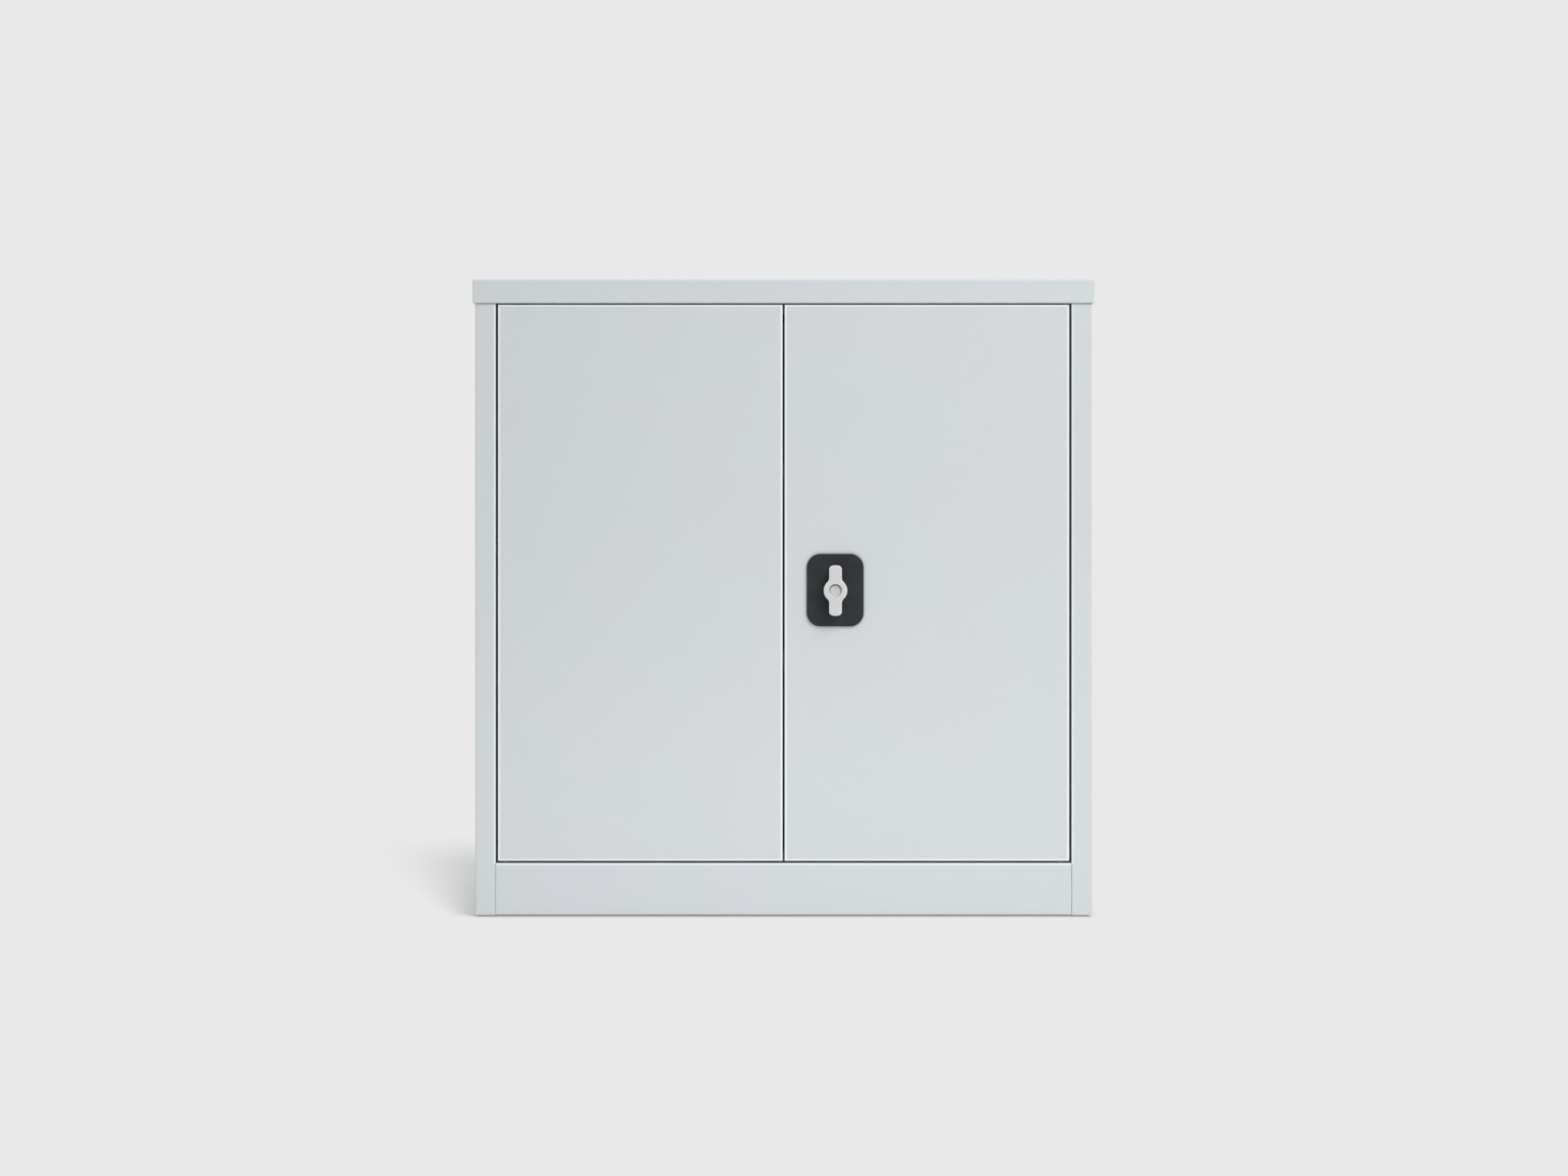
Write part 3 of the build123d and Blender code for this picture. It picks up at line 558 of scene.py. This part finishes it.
def moulded(name, tone, rough, grain, grain_height, gloss, face=None):
    """Moulded or blackened surface with a fine grain, and painted shade on its side behind its face
    if that is given.
    """
    finish = Finish(name)
    pebble = finish.noise(grain, roughness=0.55)
    wear = finish.noise(grain * WEAR_BREADTH, detail=3.0)
    worn = [part + (1 - part) * WEAR_PALE for part in tone]
    shown = finish.blend(wear * WEAR_SHARE, tone, worn)
    # Painted shade on the side behind the face
    if face is not None:
        _, deep, _ = finish.axes()
        side = [part * SIDE_SHADE_SHARE for part in tone]
        shown = finish.blend((deep - face).rise(SIDE_START, SIDE_END), shown, side)
    return finish.surface(
        Base_Color=shown,
        Roughness=rough + pebble.around(PEBBLE_ROUGH) + wear.around(WEAR_ROUGH),
        Specular_IOR_Level=gloss,
        Normal=finish.bump(pebble, grain_height),
    )


def lacquer(lock):
    """Smooth satin lacquer over a casting, rubbed a little brighter by hands, with a painted
    highlight along its rounded edges.
    """
    finish = Finish("handle_lacquer")
    low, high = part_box("lock_handle")
    casting = finish.noise(lock.cast)
    specks = finish.noise(lock.speck, detail=1.0)
    rubbed = finish.noise(lock.rub)
    pale = specks.around(lock.speck_pale) + rubbed * lock.rub_pale
    tone = finish.blend(pale, lock.handle, WHITE)
    _, deep, _ = finish.axes()
    behind = deep - low.y
    # Painted highlight along the rounded front edge, kept out of the recess
    start, full, fade, gone = [part * lock.front_edge for part in HIGHLIGHT_SHARES]
    edge = behind.rise(start, full) * (1 - behind.rise(fade, gone))
    out = finish.radius((low + high) / 2)
    outside = out.rise(lock.recess_radius, lock.recess_radius * HIGHLIGHT_CLEAR_SHARE)
    return finish.surface(
        Base_Color=finish.blend(edge * outside * lock.edge_highlight, tone, WHITE),
        Roughness=lock.lacquer_rough
        + rubbed.around(lock.rub_rough)
        + specks.around(lock.speck_rough),
        Coat_Weight=lock.lacquer_coat + rubbed.around(lock.rub_coat),
        Coat_Roughness=lock.lacquer_coat_rough,
        Normal=finish.bump(casting, lock.cast_height),
    )


def plug_satin(lock):
    """Satin grey turned on a lathe, with faint rings about the key plug's axis."""
    finish = Finish("plug_satin")
    low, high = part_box("lock_plug")
    turn = finish.radius((low + high) / 2) * (2 * pi / lock.ring_pitch)
    rings = turn.math("SINE", turn)
    dull = finish.noise(lock.dull_place)
    return finish.surface(
        Base_Color=finish.blend(dull * lock.plug_dull, lock.plug, lock.plug_shade),
        Roughness=lock.plug_rough + dull.around(lock.dull_rough),
        Normal=finish.bump(rings * 0.5 + dull, lock.ring_height),
    )


def dress(node, material):
    """Give a packed node its material."""
    slots = frame["nodes"][node].data.materials
    slots.clear()
    slots.append(material)


def finished_piece(name, mesh, material):
    """Object made from a bmesh, smooth but for its sharp corners, with normals weighted by area."""
    bmesh.ops.remove_doubles(mesh, verts=mesh.verts, dist=MERGE)
    bmesh.ops.recalc_face_normals(mesh, faces=mesh.faces)
    for face in mesh.faces:
        face.smooth = True
    data = bpy.data.meshes.new(name)
    mesh.to_mesh(data)
    mesh.free()
    data.set_sharp_from_angle(angle=SHARP_FOLD)
    data.materials.append(material)
    piece = bpy.data.objects.new(name, data)
    bpy.context.scene.collection.objects.link(piece)
    weighted = piece.modifiers.new("even_normals", "WEIGHTED_NORMAL")
    weighted.keep_sharp = True
    return piece


def rim(mesh, depth):
    """Edges that lie at that depth."""
    return [
        edge
        for edge in mesh.edges
        if all(abs(vert.co.y - depth) < MERGE for vert in edge.verts)
    ]


def swing(flat, vert, centre, angle, steps):
    """Draw an arc from that vertex about a point in the outline's plane; gives its last vertex."""
    made = bmesh.ops.spin(
        flat,
        geom=[vert],
        cent=centre,
        axis=(0, -1, 0),
        angle=angle,
        steps=steps,
        use_merge=False,
    )
    return [part for part in made["geom_last"] if isinstance(part, bmesh.types.BMVert)][0]


def wing_ring(mesh, lock, centre, reach, hub, inset, depth):
    """Closed outline of bar and hub at one depth, drawn that far inside their full size."""
    half = lock.wing_width / 2
    blend = lock.hub_blend
    corner = lock.wing_corner
    dome = (half**2 + lock.wing_dome**2) / (2 * lock.wing_dome)
    waist = sqrt((hub + blend) ** 2 - (half + blend) ** 2)
    lean = atan2(waist, half + blend)
    crown = sqrt((dome - corner) ** 2 - (half - corner) ** 2)
    shoulder = reach - dome + crown
    turn = atan2(crown, half - corner)

    def at(across, up):
        return centre + Vector((across, depth, up))

    start = mesh.verts.new(at(hub - inset, 0))
    neck = swing(mesh, start, at(0, 0), lean, lock.arc_steps)
    root = swing(mesh, neck, at(half + blend, waist), -lean, lock.arc_steps // 2)
    tip = mesh.verts.new(at(half - inset, shoulder))
    mesh.edges.new((root, tip))
    peak = swing(mesh, tip, at(half - corner, shoulder), turn, lock.arc_steps // 2)
    swing(mesh, peak, at(0, reach - dome), pi / 2 - turn, lock.arc_steps // 4)
    for normal in ("X", "Z"):
        ring = rim(mesh, depth)
        bmesh.ops.mirror(
            mesh,
            geom=list({vert for edge in ring for vert in edge.verts}) + ring,
            matrix=Matrix.Translation(-centre),
            merge_dist=MERGE,
            axis=normal,
        )
    corners = list({vert for edge in rim(mesh, depth) for vert in edge.verts})
    bmesh.ops.remove_doubles(mesh, verts=corners, dist=MERGE)


def turned(mesh, lock, centre, profile):
    """Surface turned about the key plug's axis from radii and depths; gives its corners."""
    before = set(mesh.verts)
    line = [mesh.verts.new(centre + Vector((out, depth, 0))) for out, depth in profile]
    ribs = [mesh.edges.new(pair) for pair in zip(line, line[1:])]
    bmesh.ops.spin(
        mesh,
        geom=line + ribs,
        cent=centre,
        axis=(0, -1, 0),
        angle=2 * pi,
        steps=4 * lock.arc_steps,
        use_merge=True,
    )
    return [vert for vert in mesh.verts if vert not in before]


def rounded_sides(lock, front, back):
    """Insets and depths of the bar's side, from its back edge round to its front one."""
    turns = [step * pi / 2 / lock.edge_steps for step in range(lock.edge_steps + 1)]
    sides = [
        (lock.back_edge * (1 - cos(turn)), back - lock.back_edge * (1 - sin(turn)))
        for turn in reversed(turns)
    ]
    return sides + [
        (lock.front_edge * (1 - cos(turn)), front + lock.front_edge * (1 - sin(turn)))
        for turn in turns
    ]


class CABINET_OT_coat_sheets(Operator):
    """Powder-coat every sheet of the body, the doors and the shelves"""

    bl_idname = "cabinet.coat_sheets"
    bl_label = "Coat the sheets"

    def execute(self, context):
        coat = context.scene.cabinet_coat
        bends = gap_bends(coat)
        for node in nodes_in("body_paint", "door_paint", "shelf_paint"):
            dress(node, powder_coat(node, coat, bends.get(node)))
        return {"FINISHED"}


class CABINET_OT_finish_fittings(Operator):
    """Plate the metal fittings and give the moulded ones their grain"""

    bl_idname = "cabinet.finish_fittings"
    bl_label = "Finish the fittings"

    def execute(self, context):
        fittings = context.scene.cabinet_fittings
        lock = context.scene.cabinet_lock
        finishes = {
            "zinc_steel": zinc_plate(fittings),
            "black_nylon": moulded("black_nylon_grain", fittings.nylon, **MOULDINGS["nylon"]),
            "bumper_rubber": moulded("rubber_grain", fittings.rubber, **MOULDINGS["rubber"]),
            "plate_black": moulded(
                "plate_pebble", lock.plate, **MOULDINGS["plate"], face=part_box("lock_plate")[0].y
            ),
            "plug_grey": plug_satin(lock),
        }
        for slot, material in finishes.items():
            for node in nodes_in(slot):
                dress(node, material)
        # The barrel's black face, seen through the skewed hole above the plug, stands as a painted
        # shadow
        dress("lock_barrel", moulded("barrel_black", lock.barrel, **MOULDINGS["barrel"]))
        return {"FINISHED"}


class CABINET_OT_make_handle(Operator):
    """Cast the wing handle: a bar with rounded edges and a hub recessed round the key plug"""

    bl_idname = "cabinet.make_handle"
    bl_label = "Make the wing handle"

    def execute(self, context):
        lock = context.scene.cabinet_lock
        low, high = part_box("lock_handle")
        barrel_low, barrel_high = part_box("lock_barrel")
        centre = Vector(((low.x + high.x) / 2, 0, (low.z + high.z) / 2))
        hub = (high.x - low.x) / 2
        reach = (high.z - low.z) / 2
        bore = (barrel_high.x - barrel_low.x) / 2
        wing_back = low.y + lock.wing_thickness
        mesh = bmesh.new()
        # Bar and hub, ring by ring from the back edge round to the front one
        sides = rounded_sides(lock, low.y, wing_back)
        for inset, depth in sides:
            wing_ring(mesh, lock, centre, reach, hub, inset, depth)
        for (_, near), (_, far) in zip(sides, sides[1:]):
            bmesh.ops.bridge_loops(mesh, edges=rim(mesh, near) + rim(mesh, far))
        # Stem behind the hub, bored for the barrel
        stem = hub - lock.stem_step
        socket = [
            (stem, wing_back),
            (stem, high.y - lock.back_edge),
            (stem - lock.back_edge, high.y),
            (bore, high.y),
            (bore, barrel_low.y),
        ]
        turned(mesh, lock, centre, socket)
        # Recess in front, whose floor has a hole that shows the black barrel above the key plug as
        # a painted shadow crescent
        floor = barrel_low.y - lock.recess_lip
        recess = [
            (lock.recess_hole, barrel_low.y),
            (lock.recess_hole, floor),
            (lock.recess_radius - lock.recess_rim / 2, low.y + lock.recess_rim),
            (lock.recess_radius, low.y + lock.recess_rim / 3),
            (lock.recess_radius + lock.recess_rim, low.y),
        ]
        bowl = turned(mesh, lock, centre, recess)
        hole = [vert for vert in bowl if vert.co.y > floor - lock.recess_lip]
        bmesh.ops.translate(mesh, verts=hole, vec=(0, 0, lock.crescent_shadow_skew))
        for depth in (low.y, barrel_low.y, wing_back):
            bmesh.ops.triangle_fill(mesh, edges=rim(mesh, depth), use_beauty=True)
        piece = finished_piece("wing_handle", mesh, lacquer(lock))
        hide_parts("lock_handle")
        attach(piece, "handle")
        return {"FINISHED"}


def studio_floor(studio):
    """Pale floor that takes the cabinet's shadow near it and fades into the backdrop."""
    finish = Finish("studio_floor")
    tone = (*studio.backdrop, 1.0)
    left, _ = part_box("left_side_panel")
    _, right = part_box("right_side_panel")
    across, deep, _ = finish.axes()
    middle = (left + right) / 2
    half = (right - left) / 2
    behind = deep - left.y
    spread = (left.x - across) / (behind * studio.shadow_spread + studio.shadow_start)
    beside = (1 - spread.rise(0.0, 1.0)) * (1 - (across - middle.x).rise(0.0, half.x))
    begun = behind.rise(-studio.shadow_blur, studio.shadow_blur)
    ended = behind.rise(studio.shadow_end / 2, studio.shadow_end)
    beyond = (abs(across - middle.x) - half.x).most(abs(deep - middle.y) - half.y)
    close = (1 - beyond.rise(0.0, studio.contact_reach)) * studio.contact
    under = (1 - beyond.rise(-studio.under_blur, studio.under_blur)) * studio.under
    plain = 1 - (beside * begun * (1 - ended) * studio.shadow).most(close).most(under)
    matt = finish.add(
        "ShaderNodeBsdfDiffuse", inputs={"Color": tone, "Roughness": studio.floor_rough}
    )
    shown = finish.add("ShaderNodeEmission", inputs={"Color": tone, "Strength": 1.0})
    return finish.close(
        finish.add(
            "ShaderNodeMixShader",
            inputs={0: finish.backdrop_rays() * plain, 1: matt, 2: shown},
        )
    )


def lay_floor(scene, studio):
    """Flat floor under the cabinet."""
    ground = bmesh.new()
    bmesh.ops.create_grid(ground, x_segments=1, y_segments=1, size=studio.floor_reach)
    data = bpy.data.meshes.new("studio_floor")
    ground.to_mesh(data)
    ground.free()
    data.materials.append(studio_floor(studio))
    floor = bpy.data.objects.new("studio_floor", data)
    scene.collection.objects.link(floor)
    floor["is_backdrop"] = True


def light_sky(scene, studio):
    """Even light, stronger above and at both sides; the backdrop's grey is what rays see."""
    world = Finish("studio_sky", "worlds")
    scene.world = world.owner
    across, _, upward = world.split(world.add("ShaderNodeTexCoord", output="Generated"))
    strength = upward.most(0.0) * studio.overhead + abs(across) * studio.flanks + studio.sky
    even = world.add(
        "ShaderNodeBackground", inputs={"Color": (*WHITE, 1.0), "Strength": strength}
    )
    shown = world.add(
        "ShaderNodeBackground", inputs={"Color": (*studio.backdrop, 1.0), "Strength": 1.0}
    )
    mixed = world.add("ShaderNodeMixShader", inputs={0: world.backdrop_rays(), 1: even, 2: shown})
    world.close(mixed, "ShaderNodeOutputWorld")


def aim(thing, target):
    """Turn a lamp or camera to look at a point."""
    thing.rotation_euler = (target - thing.location).to_track_quat("-Z", "Y").to_euler()


def lamp(name, place, target, breadth, power, height=None):
    """Soft box, square unless it has a height of its own."""
    data = bpy.data.lights.new(name, "AREA")
    data.shape = "RECTANGLE"
    data.size = breadth
    data.size_y = height or breadth
    data.energy = power
    thing = bpy.data.objects.new(name, data)
    thing.location = place
    bpy.context.scene.collection.objects.link(thing)
    aim(thing, target)


def stand_camera(scene, studio, doors):
    """Level camera in front of the closed doors."""
    camera = bpy.data.objects.new("camera", bpy.data.cameras.new("camera"))
    scene.collection.objects.link(camera)
    camera.location = (
        studio.picture_shift,
        doors - studio.camera_distance,
        studio.camera_height,
    )
    camera.rotation_euler = (pi / 2, 0, 0)
    camera.data.lens = (
        camera.data.sensor_width * studio.camera_distance / studio.picture_width
    )
    camera.data.shift_y = (studio.picture_middle - studio.camera_height) / studio.picture_width
    camera.data.clip_end = studio.camera_reach
    scene.camera = camera


class CABINET_OT_set_stage(Operator):
    """Lay the floor, set the lights and stand the camera"""

    bl_idname = "cabinet.set_stage"
    bl_label = "Set the stage"

    def execute(self, context):
        scene = context.scene
        studio = scene.cabinet_studio
        low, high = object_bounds()
        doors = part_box("left_door")[0].y
        middle = Vector((0, (low.y + high.y) / 2, (low.z + high.z) / 2))
        foot = Vector((0, doors, 0))
        lay_floor(scene, studio)
        light_sky(scene, studio)
        lamp("key_light", studio.key_place, middle, studio.key_breadth, studio.key_power)
        lamp(
            "low_light",
            foot + studio.low_place,
            foot + studio.low_target,
            studio.low_breadth,
            studio.low_power,
            studio.low_height,
        )
        stand_camera(scene, studio, doors)
        scene.view_settings.view_transform = "Standard"
        return {"FINISHED"}


class CABINET_PT_sidebar(Panel):
    """The cabinet's steps and settings"""

    bl_label = "Cabinet"
    bl_idname = "CABINET_PT_sidebar"
    bl_space_type = "VIEW_3D"
    bl_region_type = "UI"
    bl_category = "Cabinet"

    def draw(self, context):
        layout = self.layout
        for operator in OPERATORS:
            layout.operator(operator.bl_idname)
        for name, group in GROUPS.items():
            box = layout.box()
            box.label(text=group.__doc__)
            for field in group.__annotations__:
                box.prop(getattr(context.scene, name), field)


GROUPS = {
    "cabinet_coat": CabinetCoat,
    "cabinet_fittings": CabinetFittings,
    "cabinet_lock": CabinetLock,
    "cabinet_studio": CabinetStudio,
}
OPERATORS = (
    CABINET_OT_coat_sheets,
    CABINET_OT_finish_fittings,
    CABINET_OT_make_handle,
    CABINET_OT_set_stage,
)
CLASSES = (*GROUPS.values(), *OPERATORS, CABINET_PT_sidebar)


def register():
    for each in CLASSES:
        bpy.utils.register_class(each)
    for name, group in GROUPS.items():
        setattr(bpy.types.Scene, name, PointerProperty(type=group))


def unregister():
    for name in GROUPS:
        delattr(bpy.types.Scene, name)
    for each in reversed(CLASSES):
        bpy.utils.unregister_class(each)


def main():
    register()
    bpy.ops.cabinet.coat_sheets()
    bpy.ops.cabinet.finish_fittings()
    bpy.ops.cabinet.make_handle()
    bpy.ops.cabinet.set_stage()


if __name__ == "__main__":
    main()
